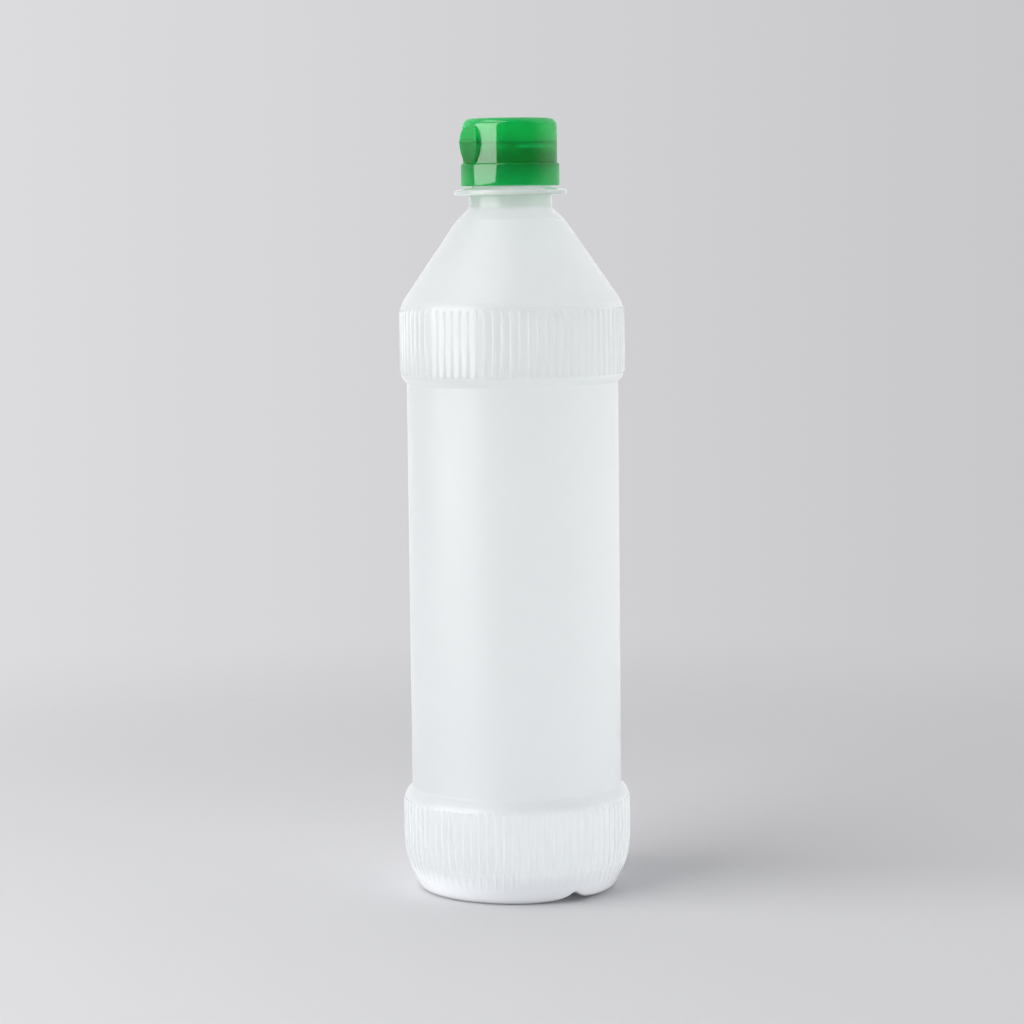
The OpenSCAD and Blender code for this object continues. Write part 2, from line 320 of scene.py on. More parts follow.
@dataclass(frozen=True)
class NaturalPolyethylene:
    """Natural high-density polyethylene, blown in a blasted mould.

    It is milky: light enters, scatters and leaves on both sides of the wall. The foot is blown thicker than
    the rest, so the base lets little light through and is whiter; the foot's glow is also painted lighter, a
    painted lift against the shade near the floor. The blasted mould leaves a fine grain that breaks up
    reflections on the panel and the shoulder, while the ribbed bands and the neck are smooth.
    The grain is drawn a little coarser than real, so that it shows.
    """

    name: str = "natural_polyethylene_blown"
    colour: str = "#f4f6f9"
    glow: str = "#f8f9f9"
    foot_painted_light: str = "#fdfefe"
    base_from_mm: float = 5.4
    base_top_mm: float = 9.0
    panel_from_mm: float = 26.0
    panel_to_mm: float = 150.0
    shoulder_from_mm: float = 168.0
    shoulder_to_mm: float = 194.0
    fade_mm: float = 2.0
    let_through: float = 0.96
    base_let_through: float = 0.2
    roughness: float = 0.36
    smooth_roughness: float = 0.2
    ior: float = 1.54
    gloss: float = 0.045
    edge_gloss: float = 1.0
    grain_mm: float = 0.7
    grain_depth_mm: float = 0.08

    def make(self) -> Material:
        """Build the material.

        Returns:
            The blown plastic with its grain.
        """
        material, tree, place = new_material(self.name)
        height = add_node(tree, "SeparateXYZ", {"Vector": place}).outputs["Z"]
        panel = self.between(tree, height, self.panel_from_mm, self.panel_to_mm)
        shoulder = self.between(tree, height, self.shoulder_from_mm, self.shoulder_to_mm)
        grainy = combine(tree, "MAXIMUM", panel, shoulder)
        rough = ramp(tree, grainy, (0.0, self.smooth_roughness), (1.0, self.roughness))
        grain = add_node(
            tree, "TexNoise",
            {"Vector": place, "Scale": 1 / (self.grain_mm * MM), "Detail": 2.0, "Roughness": 0.55},
        )
        depth = self.grain_depth_mm * MM
        normal = add_node(tree, "Bump", {"Height": grain, "Strength": grainy, "Distance": depth})
        plastic = add_node(
            tree, "BsdfPrincipled",
            {"Base Color": linear(self.colour), "Roughness": rough, "IOR": self.ior, "Normal": normal},
        )
        above_foot = self.rise(tree, height, self.panel_from_mm)
        # The lighter glow on the foot is painted light, a lift against the shade near the floor.
        tone_with_painted_foot_light = blend_colours(tree, above_foot, self.foot_painted_light, self.glow)
        glow = add_node(tree, "BsdfTranslucent", {"Color": tone_with_painted_foot_light})
        base = (self.base_from_mm * MM, self.base_let_through)
        thin = ramp(tree, height, base, (self.base_top_mm * MM, self.let_through))
        milk = mix_shaders(tree, thin, plastic, glow)
        skin = glossy_skin(tree, milk, self.gloss, self.edge_gloss, {"Roughness": rough, "Normal": normal})
        add_node(tree, "OutputMaterial", {"Surface": skin})
        return material

    def rise(self, tree: NodeTree, height: NodeSocket, low: float) -> Node:
        """Rise from 0 to 1 above a height in millimetres."""
        return ramp(tree, height, (low * MM, 0.0), ((low + self.fade_mm) * MM, 1.0))

    def between(self, tree: NodeTree, height: NodeSocket, low: float, high: float) -> Node:
        """Mark the part of the bottle between two heights.

        Args:
            tree: Node tree of the material.
            height: Height in metres.
            low: Lower end in millimetres.
            high: Upper end in millimetres.

        Returns:
            A share that is 1 between the heights and fades out just inside them.
        """
        fall = ramp(tree, height, ((high - self.fade_mm) * MM, 1.0), (high * MM, 0.0))
        return combine(tree, "MULTIPLY", self.rise(tree, height, low), fall)


@dataclass(frozen=True)
class GreenPolypropylene:
    """Green translucent polypropylene, injected in a polished mould.

    It is hazy: the shapes inside the cap show as soft darker green. Two walls are a deeper green than one.
    The skirt and the collar are painted a deeper green than the lid, as painted shade of the parts that lie
    behind them, and the foot of the collar, where the deck, the plug and the neck lie behind it, is painted
    the deepest. The skin is glossy, with a faint flow pattern. Light is tinted at both surfaces of a wall, so
    the tint of a surface is lighter than that of the wall. The index of refraction is lower than the real
    1.49, so that only the skin mirrors.
    """

    name: str = "green_polypropylene_moulded"
    wall: str = "#00e788"
    surface: str = "#00f2ae"
    painted_shade_wall: str = "#00b64a"
    painted_shade_surface: str = "#00d98c"
    skirt_painted_shade: float = 0.5
    deck_painted_shade: float = 0.4
    skirt_top_mm: float = 208.0
    collar_from_mm: float = 209.0
    collar_fade_from_mm: float = 210.0
    lid_from_mm: float = 214.78
    haze: float = 0.5
    transmission: float = 0.75
    roughness: float = 0.3
    ior: float = 1.2
    gloss: float = 0.06
    edge_gloss: float = 0.2
    skin_roughness: Point = (0.04, 0.1)
    flow_mm: float = 4.0

    def make(self) -> Material:
        """Build the material.

        Returns:
            The moulded plastic with its glossy skin.
        """
        material, tree, place = new_material(self.name)
        height = add_node(tree, "SeparateXYZ", {"Vector": place}).outputs["Z"]
        # The deeper green below the lid is painted shade of the deck, the plug and the neck behind the wall.
        depth = self.depth(tree, height)
        wall = blend_colours(tree, depth, self.wall, self.painted_shade_wall)
        surface = blend_colours(tree, depth, self.surface, self.painted_shade_surface)
        plastic = add_node(
            tree, "BsdfPrincipled",
            {"Base Color": wall, "Roughness": self.roughness, "IOR": self.ior,
             "Transmission Weight": self.transmission},
        )
        milk = add_node(tree, "BsdfTranslucent", {"Color": surface})
        hazy = mix_shaders(tree, self.haze, plastic, milk)
        flow = add_node(tree, "TexNoise", {"Vector": place, "Scale": 1 / (self.flow_mm * MM), "Detail": 3.0})
        low, high = self.skin_roughness
        rough = ramp(tree, flow, (0.0, low), (1.0, high))
        skin = glossy_skin(tree, hazy, self.gloss, self.edge_gloss, {"Roughness": rough})
        add_node(tree, "OutputMaterial", {"Surface": skin})
        return material

    def depth(self, tree: NodeTree, height: NodeSocket) -> Node:
        """Tell how deep the painted shade of the green is at a height.

        Args:
            tree: Node tree of the material.
            height: Height in metres.

        Returns:
            A share from 0 in the lid to 1 at the foot of the collar.
        """
        lid_z = self.lid_from_mm * MM
        skirt_end = (self.skirt_top_mm * MM, self.skirt_painted_shade)
        skirt = ramp(tree, height, skirt_end, (self.collar_from_mm * MM, 1.0))
        collar = ramp(tree, height, (self.collar_fade_from_mm * MM, 1.0), (lid_z, self.deck_painted_shade))
        under_lid = combine(tree, "LESS_THAN", height, lid_z)
        return combine(tree, "MULTIPLY", combine(tree, "MULTIPLY", skirt, collar), under_lid)


@dataclass(frozen=True)
class WasherFoam:
    """Closed-cell polyethylene foam, cut from sheet: matt, white and finely pitted."""

    name: str = "polyethylene_foam_cut"
    colour: str = "#eeede6"
    roughness: float = 0.85
    cell_mm: float = 0.25
    cell_depth_mm: float = 0.05
    cell_strength: float = 0.5

    def make(self) -> Material:
        """Build the material.

        Returns:
            The foam with its cells.
        """
        material, tree, place = new_material(self.name)
        cells = add_node(tree, "TexVoronoi", {"Vector": place, "Scale": 1 / (self.cell_mm * MM)})
        pits: Inputs = {"Height": cells, "Strength": self.cell_strength, "Distance": self.cell_depth_mm * MM}
        normal = add_node(tree, "Bump", pits)
        skin: Inputs = {"Base Color": linear(self.colour), "Roughness": self.roughness, "Normal": normal}
        foam = add_node(tree, "BsdfPrincipled", skin)
        add_node(tree, "OutputMaterial", {"Surface": foam})
        return material


@dataclass(frozen=True)
class StudioPaper:
    """Matt grey background paper, which spreads light evenly and fades out with its distance in metres."""

    name: str = "background_paper"
    colour: str = "#cfcfd1"
    roughness: float = 0.9
    sheen: float = 0.2
    fade_start: float = 0.1
    fade_end: float = 0.55

    def make(self) -> Material:
        """Build the material.

        Returns:
            The paper.
        """
        material, tree, place = new_material(self.name)
        away = add_node(tree, "VectorMath", {0: place}, operation="LENGTH").outputs["Value"]
        cover = ramp(tree, away, (self.fade_start, 1.0), (self.fade_end, 0.0), smooth=True)
        paper = add_node(
            tree, "BsdfPrincipled",
            {"Base Color": linear(self.colour), "Roughness": self.roughness, "Specular IOR Level": self.sheen,
             "Alpha": cover},
        )
        add_node(tree, "OutputMaterial", {"Surface": paper})
        return material


@dataclass(frozen=True)
class StudioAir:
    """Light of the studio: a bright backdrop behind the bottle and a darker room on the camera's side.

    The light grows between two places along the direction to the backdrop, which are given as the cosines of
    their angles. The camera itself sees a plain grey that is painted a little brighter on the left, as
    painted light from the key.
    """

    name: str = "studio_air"
    tint: str = "#fdfdff"
    front: float = 0.1
    front_at: float = -0.5
    behind: float = 0.95
    behind_at: float = 0.7
    left: str = "#dcdcde"
    right: str = "#c8c8ca"
    half_width: float = 0.16

    def make(self, away: Vector, right: Vector) -> World:
        """Build the world.

        Args:
            away: Direction of the backdrop's brightest part.
            right: Direction to the camera's right.

        Returns:
            The world.
        """
        world = bpy.data.worlds.new(self.name)
        world.use_nodes = True
        tree = world.node_tree
        tree.nodes.clear()
        look = add_node(tree, "TexCoord").outputs["Generated"]
        depth = add_node(tree, "VectorMath", {0: look, 1: away}, operation="DOT_PRODUCT")
        side = add_node(tree, "VectorMath", {0: look, 1: right}, operation="DOT_PRODUCT")
        far = (self.behind_at, self.behind)
        level = ramp(tree, depth.outputs["Value"], (self.front_at, self.front), far, smooth=True)
        # Painted light: the grey that the camera sees is painted brighter on the left, the key's side.
        across = ramp(tree, side.outputs["Value"], (-self.half_width, 0.0), (self.half_width, 1.0))
        grey = blend_colours(tree, across, self.left, self.right)
        light = add_node(tree, "Background", {"Color": linear(self.tint), "Strength": level})
        backdrop = add_node(tree, "Background", {"Color": grey, "Strength": 1.0})
        seen = add_node(tree, "LightPath").outputs["Is Camera Ray"]
        air = mix_shaders(tree, seen, light, backdrop)
        add_node(tree, "OutputWorld", {"Surface": air})
        return world


@dataclass(frozen=True)
class Thread:
    """One right-hand screw thread on a round wall, which fades into the wall at both ends, in millimetres.

    The crest is a radius outside or inside the wall. The widths are those at the wall and at the crest. The
    thread is sunk a little into the wall.
    """

    crest: float
    foot_z: float
    turns: float
    root_w: float
    crest_w: float
    pitch: float = 3.175
    sink: float = 0.3
    fade: float = 0.07
    end_share: float = 0.25
    columns: int = 96

    def build_helix(self, wall: float) -> BMesh:
        """Model the thread.

        Args:
            wall: Radius of the wall that carries it.

        Returns:
            A closed mesh.
        """
        sunk = wall - math.copysign(self.sink, self.crest - wall)
        root, crest = self.root_w / 2, self.crest_w / 2
        half = [(sunk, root), (wall, root), (self.crest, crest)]
        section = [(radius, -height) for radius, height in half] + half[::-1]
        steps = round(self.columns * self.turns)
        bm = bmesh.new()
        verts = [bm.verts.new((radius, 0, self.foot_z + height)) for radius, height in section]
        edges = [bm.edges.new((a, b)) for a, b in pairwise(verts + verts[:1])]
        bmesh.ops.spin(
            bm, geom=verts + edges, cent=(0, 0, 0), axis=(0, 0, 1),
            dvec=(0, 0, self.pitch * self.turns / steps), angle=2 * math.pi * self.turns, steps=steps,
        )
        for index, vert in enumerate(bm.verts):
            along = index // len(section) / steps
            full = smoothstep(0, self.fade, along) * (1 - smoothstep(1 - self.fade, 1, along))
            radius = vert.co.xy.length
            kept = sunk + (radius - sunk) * (self.end_share + (1 - self.end_share) * full)
            vert.co.xy = vert.co.xy * (kept / radius)
        bmesh.ops.holes_fill(bm, edges=[edge for edge in bm.edges if edge.is_boundary], sides=len(section))
        return bm


@dataclass
class Bottle:
    """Blown bottle: a hollow shell with two ribbed bands, a channel across its base and a screw neck.

    Sizes are in millimetres, angles in degrees, and both follow the solid that the shell stands for.
    """

    material: Material
    lower_r: float = 32.5
    upper_r: float = 31.95
    panel_r: float = 30.3
    lower_h: float = 26.2
    panel_h: float = 123.6
    upper_h: float = 16.5
    lower_round: float = 4.2
    upper_round: float = 4.0
    edge_share: float = 0.92
    nook_r: float = 1.0
    wall: float = 0.9
    shoulder_round: float = 8.0
    cone_a: float = 34.4
    dome_w: float = 4.6
    dome_r: float = 14.0
    dome_a: float = 46.0
    neck_fillet: float = 1.5
    neck_r: float = 11.85
    neck_h: float = 3.1
    neck_corner: float = 0.3
    ring_r: float = 16.05
    ring_edge: float = 1.3
    ring_h: float = 2.1
    ring_round: float = 0.35
    finish_r: float = 10.8
    finish_h: float = 10.0
    finish_corner: float = 0.25
    rim_round: float = 0.35
    bore_r: float = 9.6
    bore_round: float = 0.2
    foot_inset: float = 6.4
    foot_w: float = 4.5
    foot_seam: float = 1.0
    heel_r: float = 3.5
    barrel_r: float = 33.0
    push_up: float = 3.5
    base_wall: float = 1.2
    channel_h: float = 2.8
    channel_r: float = 1.5
    channel_edge: float = 12.0
    channel_blend: float = 1.2
    channel_fall: float = 0.25
    lower_ribs: int = 84
    upper_ribs: int = 80
    rib_h: float = 0.35
    rib_start: float = 3.0
    rib_heel_run: float = 7.0
    rib_run_out: float = 0.7
    rib_past_lower: float = 0.9
    rib_past_upper: float = 0.7
    rib_past_shoulder: float = 1.8
    rib_flat: float = 0.08
    rib_foot: float = 0.21
    rib_columns: int = 10
    columns: int = 240
    sectors: int = 12
    thread: Thread = Thread(crest=11.9, foot_z=205.0, turns=1.25, root_w=1.9, crest_w=0.8)

    def __post_init__(self) -> None:
        """Work out the centres of the roundings along the outline."""
        self.foot_r = self.lower_r - self.foot_inset
        self.push_r = self.foot_r - self.foot_w
        self.push_dome_r = (self.push_r ** 2 + self.push_up ** 2) / (2 * self.push_up)
        self.push_a = math.degrees(math.acos(self.push_r / self.push_dome_r))
        self.heel_c = (self.foot_r, self.heel_r)
        barrel_dr = self.barrel_r - self.foot_inset
        barrel_dz = math.sqrt((self.barrel_r - self.heel_r) ** 2 - barrel_dr ** 2)
        self.barrel_c = (self.lower_r - self.barrel_r, self.heel_r + barrel_dz)
        self.heel_a = math.degrees(math.atan2(barrel_dz, barrel_dr))
        self.lower_c = (self.lower_r - self.lower_round, self.lower_h)
        self.lower_a, self.lower_nook_c = self.nook(self.lower_c, self.lower_round, 1)
        self.upper_c = (self.upper_r - self.upper_round, self.lower_h + self.panel_h)
        self.upper_a, self.upper_nook_c = self.nook(self.upper_c, self.upper_round, -1)
        self.shoulder_c = (self.upper_r - self.shoulder_round, self.upper_c[1] + self.upper_h)
        slope = math.radians(self.cone_a)
        cone_foot_r = self.shoulder_c[0] + self.shoulder_round * math.cos(slope)
        cone_foot_z = self.shoulder_c[1] + self.shoulder_round * math.sin(slope)
        dome_start_r = self.neck_r + self.dome_w
        dome_start_z = cone_foot_z + (cone_foot_r - dome_start_r) / math.tan(slope)
        dome_c_r = dome_start_r - self.dome_r * math.cos(slope)
        self.dome_c = (dome_c_r, dome_start_z - self.dome_r * math.sin(slope))
        nook_r, tilt = self.neck_r + self.neck_fillet, math.radians(self.dome_a)
        reach = self.dome_r + self.neck_fillet - (nook_r - self.dome_c[0]) * math.cos(tilt)
        self.neck_nook_c = (nook_r, self.dome_c[1] + reach / math.sin(tilt))
        self.ring_z = self.neck_nook_c[1] + self.neck_h
        self.ring_top_z = self.ring_z + self.ring_h
        self.rim_z = self.ring_top_z + self.finish_h

    def nook(self, centre: Point, radius: float, side: int) -> tuple[float, Point]:
        """Find the small rounding between a band's edge and the panel.

        Args:
            centre: Centre of the band's edge rounding.
            radius: Radius of that rounding.
            side: 1 where the panel lies above the band, -1 where it lies below.

        Returns:
            The angle at which the two roundings meet, and the centre of the small one.
        """
        angle = math.acos((self.panel_r + self.nook_r - centre[0]) / (radius + self.nook_r))
        height = centre[1] + side * (radius + self.nook_r) * math.sin(angle)
        return math.degrees(angle), (self.panel_r + self.nook_r, height)

    def outside_strips(self) -> list[list[Point]]:
        """Draw the outer wall in strips, because the ribbed ones take finer columns.

        Returns:
            Half-sections of the base, the heel with the lower band, the panel, the upper band with the
            shoulder's rounding, and the cone with the neck, up over the rim and down into the bore.
        """
        base = (
            arc((0, self.push_up - self.push_dome_r), self.push_dome_r, 90, self.push_a, 12)
            + line((self.push_r, 0), (self.foot_r - self.foot_seam, 0), 3)
        )
        lower = (
            arc(self.heel_c, self.heel_r, -90, -self.heel_a, 12)
            + arc(self.barrel_c, self.barrel_r, -self.heel_a, 0, 18, 1)
            + line((self.lower_r, self.barrel_c[1]), (self.lower_r, self.lower_h), 2)
            + arc(self.lower_c, self.lower_round, 0, self.lower_a * self.edge_share, 12, 1)
        )
        panel = (
            arc(self.lower_nook_c, self.nook_r, 180 + self.lower_a, 180, 6)
            + line((self.panel_r, self.lower_nook_c[1]), (self.panel_r, self.upper_nook_c[1]), 6)
            + arc(self.upper_nook_c, self.nook_r, 180, 180 - self.upper_a, 6, 1)
        )
        upper = (
            arc(self.upper_c, self.upper_round, -self.upper_a * self.edge_share, 0, 12)
            + line((self.upper_r, self.upper_c[1]), (self.upper_r, self.shoulder_c[1]), 2)
            + arc(self.shoulder_c, self.shoulder_round, 0, self.cone_a, 12, 1)
        )
        neck = (
            arc(self.dome_c, self.dome_r, self.cone_a, self.dome_a, 6)
            + arc(self.neck_nook_c, self.neck_fillet, 180 + self.dome_a, 180, 8)
            + [
                (self.neck_r, self.ring_z), (self.ring_r, self.ring_z),
                (self.ring_r, self.ring_z + self.ring_edge), (self.finish_r, self.ring_top_z),
                (self.finish_r, self.rim_z), (self.bore_r, self.rim_z), (self.bore_r, self.ring_z),
            ]
        )
        return [base, lower, panel, upper, neck]

    def inside_strip(self) -> list[Point]:
        """Draw the inner wall.

        Returns:
            Its half-section, from the neck down to the middle of the base.
        """
        t = self.wall
        upwards = (
            arc((0, self.push_up - self.push_dome_r), self.push_dome_r + self.base_wall, 90, self.push_a, 10)
            + arc(self.heel_c, self.heel_r - t, -90, -self.heel_a, 6)
            + arc(self.barrel_c, self.barrel_r - t, -self.heel_a, 0, 8, 1)
            + arc(self.lower_c, self.lower_round - t, 0, self.lower_a, 6)
            + arc(self.lower_nook_c, self.nook_r + t, 180 + self.lower_a, 180, 5, 1)
            + arc(self.upper_nook_c, self.nook_r + t, 180, 180 - self.upper_a, 5)
            + arc(self.upper_c, self.upper_round - t, -self.upper_a, 0, 6, 1)
            + arc(self.shoulder_c, self.shoulder_round - t, 0, self.cone_a, 6)
            + arc(self.dome_c, self.dome_r - t, self.cone_a, self.dome_a, 4)
            + arc(self.neck_nook_c, self.neck_fillet + t, 180 + self.dome_a, 180, 5)
        )
        return upwards[::-1]

    def raise_ribs(self, verts: list[BMVert], count: int, foot: float, foot_run: float, top: float) -> None:
        """Push the ribs of a band out along the surface's normals.

        Args:
            verts: Vertices of the band.
            count: Number of ribs round it.
            foot: Height at which the ribs start.
            foot_run: Height over which they rise.
            top: Height at which they end.
        """
        for vert in verts:
            phase = math.atan2(vert.co.y, vert.co.x) / (2 * math.pi) * count - 0.5
            crest = 1 - smoothstep(self.rib_flat, self.rib_foot, abs(phase - round(phase)))
            start = smoothstep(foot, foot + foot_run, vert.co.z)
            end = 1 - smoothstep(top - self.rib_run_out, top, vert.co.z)
            vert.co += vert.normal * self.rib_h * crest * start * end

    def channel_z(self, y: float, t: float) -> float:
        """Height of the channel's roof across the base.

        Args:
            y: Distance from the channel's middle line.
            t: Distance by which the roof is moved into the bottle.

        Returns:
            The roof's height, which falls below the foot beside the channel.
        """
        top_z = self.channel_h - self.channel_r
        edge_x = math.sqrt((self.channel_r + self.channel_edge) ** 2 - (self.channel_edge - top_z) ** 2)
        meet = edge_x * self.channel_r / (self.channel_r + self.channel_edge)
        across, top_r, edge_r = abs(y), self.channel_r + t, self.channel_edge - t
        if across < meet * top_r / self.channel_r:
            return top_z + math.sqrt(top_r ** 2 - across ** 2)
        if across < edge_x:
            return self.channel_edge - math.sqrt(edge_r ** 2 - (edge_x - across) ** 2)
        return t - (across - edge_x) * self.channel_fall

    def lift_channel(self, verts: list[BMVert], t: float) -> None:
        """Lift the base along the channel, with soft edges.

        Args:
            verts: Vertices of the base.
            t: Distance by which the channel's roof is moved into the bottle.
        """
        for vert in verts:
            if vert.co.z < 2 * self.heel_r:
                vert.co.z = soft_max(vert.co.z, self.channel_z(vert.co.y, t), self.channel_blend)

    def build_shell(self) -> BMesh:
        """Model the hollow shell.

        Returns:
            A closed mesh with an outer and an inner wall.
        """
        plain = (self.columns, self.sectors)
        lower_turn = (self.lower_ribs * self.rib_columns, self.lower_ribs)
        upper_turn = (self.upper_ribs * self.rib_columns, self.upper_ribs)
        profiles = self.outside_strips()
        profiles[-1] += self.inside_strip()
        turns = (plain, lower_turn, plain, upper_turn, plain)
        strips = [lathe(profile, *turn) for profile, turn in zip(profiles, turns)]
        ends = [0] + list(accumulate(len(strip.verts) for strip in strips))
        bm = join(strips)
        base, lower, _, upper, neck = [list(bm.verts[first:last]) for first, last in pairwise(ends)]
        for below, above in pairwise(profiles):
            bmesh.ops.bridge_loops(bm, edges=ring(bm, below[-1]) + ring(bm, above[0]))
        bmesh.ops.recalc_face_normals(bm, faces=bm.faces)
        bm.normal_update()
        lower_top = self.lower_h + self.rib_past_lower
        upper_foot = self.upper_c[1] - self.rib_past_upper
        upper_top = self.shoulder_c[1] + self.rib_past_shoulder
        self.raise_ribs(lower, self.lower_ribs, self.rib_start, self.rib_heel_run, lower_top)
        self.raise_ribs(upper, self.upper_ribs, upper_foot, self.rib_run_out, upper_top)
        self.lift_channel(base + lower, 0)
        self.lift_channel(neck, self.base_wall)
        for at, radius in (
            ((self.ring_r, self.ring_z), self.ring_round),
            ((self.ring_r, self.ring_z + self.ring_edge), self.ring_round),
            ((self.neck_r, self.ring_z), self.neck_corner),
            ((self.finish_r, self.ring_top_z), self.finish_corner),
            ((self.finish_r, self.rim_z), self.rim_round),
            ((self.bore_r, self.rim_z), self.bore_round),
        ):
            round_edges(bm, ring(bm, at), radius)
        return bm

    def build(self) -> None:
        """Model the shell and the thread, and tie them to the bottle's body."""
        shell = add_piece("bottle_shell", self.build_shell(), self.material)
        thread = add_piece("neck_thread", self.thread.build_helix(self.finish_r), self.material)
        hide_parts("bottle")
        for piece in (shell, thread):
            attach(piece, Body.BOTTLE.value)


@dataclass
class Pad:
    """Hinge pad: a lens-shaped block that narrows away from the crease.

    Each row gives a height, half the pad's width and how far its face stands out from the axis.
    """

    rows: list[tuple[float, float, float]]
    inner_r: float
    edge: float = 0.12
    edge_steps: int = 2

    def faces(self, bm: BMesh) -> list[BMFace]:
        """Cut the wall along the pad's outline.

        Args:
            bm: Mesh of the wall that carries the pad.

        Returns:
            The wall's faces inside the outline.
        """
        inside: list[BMFace] = []
        for (z0, w0, _), (z1, w1, _) in pairwise(self.rows):
            for side in (1, -1):
                row = self.row_faces(bm, z0, z1)
                geom = list({part for face in row for part in (*face.verts, *face.edges, face)})
                normal = Vector((z1 - z0, 0, side * (w0 - w1)))
                corner = (side * w0, 0, z0)
                bmesh.ops.bisect_plane(bm, geom=geom, dist=CUT_NEAR, plane_co=corner, plane_no=normal)
            for face in self.row_faces(bm, z0, z1):
                middle = face.calc_center_median()
                half = w0 + (w1 - w0) * (middle.z - z0) / (z1 - z0)
                if abs(middle.x) < half:
                    inside.append(face)
        return inside

    def row_faces(self, bm: BMesh, z0: float, z1: float) -> list[BMFace]:
        """Find the outer wall's faces on the hinge side between two heights.

        Args:
            bm: Mesh of the wall.
            z0: First height.
            z1: Second height, above or below the first.

        Returns:
            The faces of that row.
        """
        low, high = sorted((z0, z1))
        middles = ((face, face.calc_center_median()) for face in bm.faces)
        return [face for face, m in middles if low < m.z < high and m.y > 0 and m.xy.length > self.inner_r]

    def reach(self, height: float) -> float:
        """Tell how far the pad's face stands out.

        Args:
            height: Height on the pad.

        Returns:
            The distance from the axis.
        """
        for (z0, _, y0), (z1, _, y1) in pairwise(self.rows):
            if min(z0, z1) - NEAR <= height <= max(z0, z1) + NEAR:
                return y0 + (y1 - y0) * (height - z0) / (z1 - z0)
        return self.rows[-1][2]

    def raise_on(self, bm: BMesh) -> None:
        """Extrude the pad out of its wall and round its outline.

        Args:
            bm: Mesh of the wall that carries the pad.
        """
        made = bmesh.ops.extrude_face_region(bm, geom=self.faces(bm))["geom"]
        for vert in (part for part in made if isinstance(part, BMVert)):
            vert.co.y = self.reach(vert.co.z)
        top = {part for part in made if isinstance(part, BMFace)}
        outline = [edge for face in top for edge in face.edges if any(f not in top for f in edge.link_faces)]
        round_edges(bm, outline, self.edge, self.edge_steps)


@dataclass
class CapSizes:
    """Sizes that the cap's base and its lid share, in millimetres."""

    socket_r: float = 12.2
    skirt_r: float = 14.05
    collar_r: float = 13.45
    skirt_z: float = 202.49
    collar_z: float = 208.89
    deck_z: float = 213.09
    deck_top_z: float = 214.29
    split_z: float = 214.79
    top_z: float = 221.59
    inner_r: float = 12.35
    hinge_y: float = 14.4
    hinge_w: float = 8.6
    crease_z: float = 215.0
    pad_steps: int = 6
    pad_margin: float = 0.3
    columns: int = 240

    def pad(self, end_z: float, end_w: float, end_y: float, power: int) -> Pad:
        """Shape a hinge pad that narrows from the crease to its far end.

        Args:
            end_z: Height of the far end.
            end_w: Width of the pad there.
            end_y: Distance of its face from the axis there.
            power: Power with which its face draws back towards that end.

        Returns:
            The pad.
        """
        rows = []
        for i in range(self.pad_steps + 1):
            u = i / self.pad_steps
            width = self.hinge_w + (end_w - self.hinge_w) * u * u
            out = self.hinge_y + (end_y - self.hinge_y) * u ** power
            rows.append((self.split_z + (end_z - self.split_z) * u, width / 2, out))
        return Pad(rows, self.collar_r - self.pad_margin)


